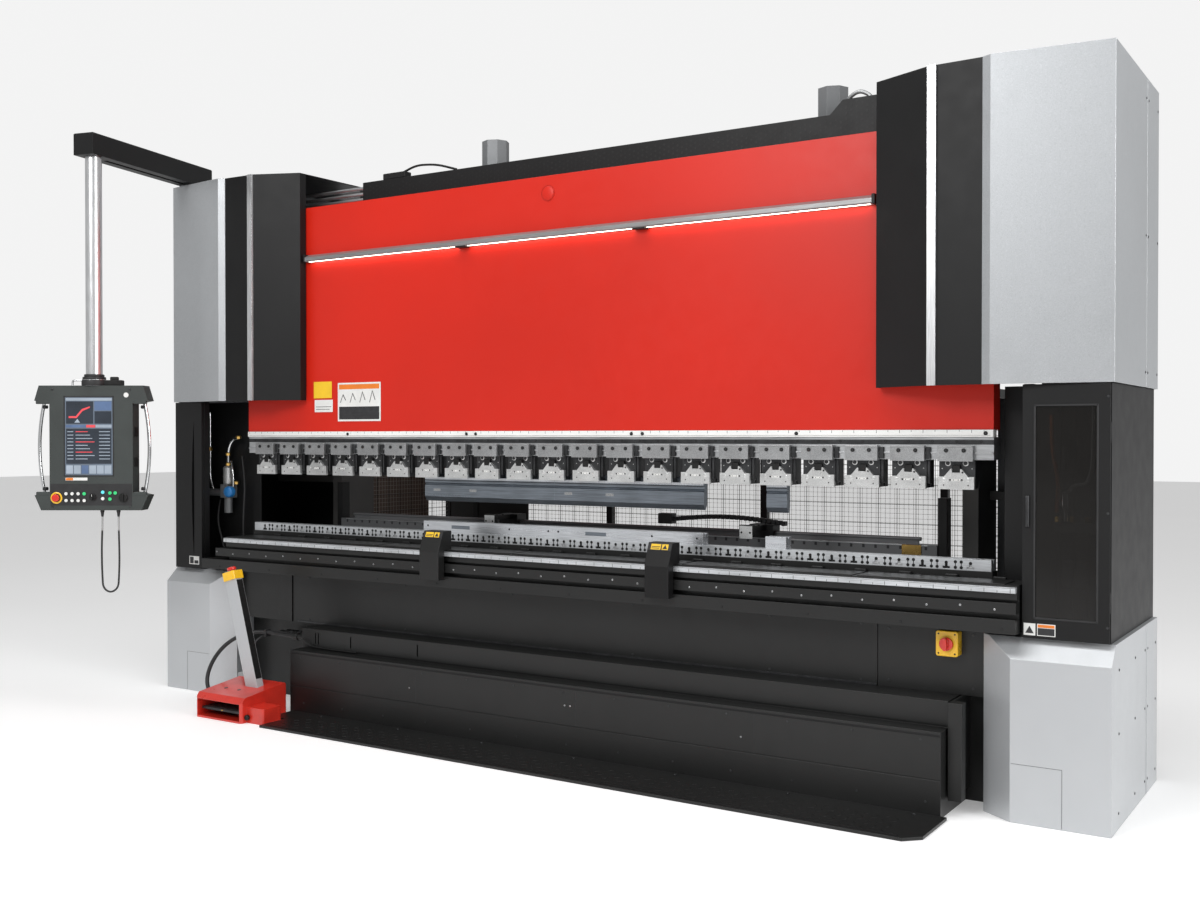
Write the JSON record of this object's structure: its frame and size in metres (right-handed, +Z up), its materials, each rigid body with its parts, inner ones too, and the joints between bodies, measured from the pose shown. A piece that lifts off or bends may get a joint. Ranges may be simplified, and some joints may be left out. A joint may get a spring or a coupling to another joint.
{
  "type": "press brake",
  "caption": "Large hydraulic press brake for bending sheet metal: twin side frames, moving ram with segmented punch holders, die rail, back gauge, swing-arm control panel and foot switch.",
  "frame": {"origin": "on the floor, under the middle of the bending line", "axes": "+X to the operator's right along the bending line, +Y towards the back of the machine, +Z up"},
  "size_m": [5.2899, 2.6241, 3.0735],
  "materials": {
    "black_paint": "satin powder coat",
    "grey_paint": "satin",
    "silver_paint": "metallic satin",
    "red_paint": "semi-gloss",
    "steel": "ground",
    "hard_chrome": "polished",
    "tool_steel": "ground",
    "bright_rail": "anodised",
    "scale_white": "satin",
    "dark_plastic": "fine texture",
    "yellow_plastic": "gloss",
    "red_plastic": "gloss",
    "key_white": "gloss",
    "screen_glass": "gloss",
    "smoked_glass": "smoked acrylic",
    "cable_rubber": "matt",
    "red_cast": "gloss enamel on casting"
  },
  "bodies": {
    "frame": {"left_side_frame": "grey_paint", "right_side_frame": "grey_paint", "cross_beams": "grey_paint", "lower_beam": "black_paint", "levelling_feet": "steel", "die_rail": "steel", "dies": "tool_steel", "table_front_plates": "black_paint", "rail_carrier": "black_paint", "support_rail": "bright_rail", "lower_front_box": "black_paint", "floor_plate": "black_paint", "isolator_box": "yellow_plastic", "left_lower_cover": "silver_paint", "right_lower_cover": "silver_paint", "left_upper_cover": "silver_paint", "right_upper_cover": "silver_paint", "fairings": "black_paint", "trim_strips": "bright_rail", "left_middle_guard": "black_paint", "right_middle_guard": "black_paint", "air_units": "steel", "hydraulic_cylinders": "grey_paint", "oil_tank": "grey_paint", "top_guard": "black_paint", "guide_rails": "hard_chrome", "rear_guard": "black_paint", "electrical_cabinet": "grey_paint", "foot_switch_base": "red_cast", "foot_post": "silver_paint", "foot_cable": "cable_rubber", "switch_cable": "cable_rubber"},
    "ram": {"ram": "red_paint", "scale_bar": "scale_white", "clamp_rail": "steel", "light_bar": "bright_rail", "holder_bodies": "tool_steel", "punches": "tool_steel", "piston_rods": "hard_chrome"},
    "holder_clamps": {"holder_clamps": "steel"},
    "isolator_knob": {"isolator_knob": "red_plastic"},
    "left_door": {"left_guard_door": "black_paint"},
    "right_door": {"right_guard_door": "black_paint", "door_window": "smoked_glass"},
    "left_support": {"left_sheet_support": "black_paint"},
    "right_support": {"right_sheet_support": "black_paint"},
    "gauge_carriage": {"gauge_carriages": "black_paint"},
    "gauge_beam": {"gauge_beam": "steel"},
    "left_finger": {"left_finger": "black_paint"},
    "right_finger": {"right_finger": "black_paint"},
    "arm": {"pendant_arm": "black_paint"},
    "pendant": {"pendant_post": "bright_rail", "pendant_case": "dark_plastic", "pendant_screen": "screen_glass", "pendant_handles": "steel", "pendant_cord": "cable_rubber"},
    "pendant_stop": {"pendant_stop_button": "red_plastic"},
    "pendant_keys": {"pendant_keys": "key_white"},
    "treadle": {"foot_treadle": "black_paint"},
    "foot_stop": {"foot_stop_button": "red_plastic"}
  },
  "joints": [
    {"name": "ram_slide", "type": "slide", "parent": "frame", "child": "ram", "axis": [0, 0, 1], "range_m": [-0.103, 0.13]},
    {"name": "clamp_release", "type": "slide", "parent": "ram", "child": "holder_clamps", "axis": [0, -1, 0], "range_m": [0, 0.003]},
    {"name": "isolator_turn", "type": "hinge", "parent": "frame", "child": "isolator_knob", "pos_m": [1.997, -0.17, 0.649], "axis": [0, 1, 0], "range_deg": [0, 90]},
    {"name": "left_door_swing", "type": "hinge", "parent": "frame", "child": "left_door", "pos_m": [-2.612, -0.188, 1.19], "axis": [0, 0, -1], "range_deg": [0, 100]},
    {"name": "right_door_swing", "type": "hinge", "parent": "frame", "child": "right_door", "pos_m": [2.612, -0.188, 1.19], "axis": [0, 0, 1], "range_deg": [0, 100]},
    {"name": "left_support_slide", "type": "slide", "parent": "frame", "child": "left_support", "axis": [1, 0, 0], "range_m": [-1.4, 0.5]},
    {"name": "right_support_slide", "type": "slide", "parent": "frame", "child": "right_support", "axis": [1, 0, 0], "range_m": [-0.6, 1.35]},
    {"name": "gauge_depth", "type": "slide", "parent": "frame", "child": "gauge_carriage", "axis": [0, 1, 0], "range_m": [-0.115, 0.5]},
    {"name": "gauge_height", "type": "slide", "parent": "gauge_carriage", "child": "gauge_beam", "axis": [0, 0, 1], "range_m": [-0.02, 0.15]},
    {"name": "left_finger_slide", "type": "slide", "parent": "gauge_beam", "child": "left_finger", "axis": [1, 0, 0], "range_m": [-1, 0.6]},
    {"name": "right_finger_slide", "type": "slide", "parent": "gauge_beam", "child": "right_finger", "axis": [1, 0, 0], "range_m": [-0.7, 0.65]},
    {"name": "arm_swing", "type": "hinge", "parent": "frame", "child": "arm", "pos_m": [-2.56, -0.1, 3], "axis": [0, 0, 1], "range_deg": [-90, 30]},
    {"name": "pendant_swivel", "type": "hinge", "parent": "arm", "child": "pendant", "pos_m": [-2.35172, -0.94161, 2.4], "axis": [0, 0, 1], "range_deg": [-90, 60]},
    {"name": "pendant_stop_press", "type": "slide", "parent": "pendant", "child": "pendant_stop", "axis": [-0.5417, 0.8406, 0], "range_m": [0, 0.005], "stiffness_N_per_m": 900, "springref_m": -0.003},
    {"name": "pendant_key_press", "type": "slide", "parent": "pendant", "child": "pendant_keys", "axis": [-0.5417, 0.8406, 0], "range_m": [0, 0.002], "stiffness_N_per_m": 900, "springref_m": -0.001},
    {"name": "treadle_press", "type": "hinge", "parent": "frame", "child": "treadle", "pos_m": [-1.674, -0.45, 0.046], "axis": [1, 0, 0], "range_deg": [0, 6], "stiffness_Nm_per_rad": 220, "springref_deg": -5.16},
    {"name": "foot_stop_press", "type": "slide", "parent": "frame", "child": "foot_stop", "axis": [0.2756, 0, -0.9613], "range_m": [0, 0.005], "stiffness_N_per_m": 1500, "springref_m": -0.004}
  ]
}
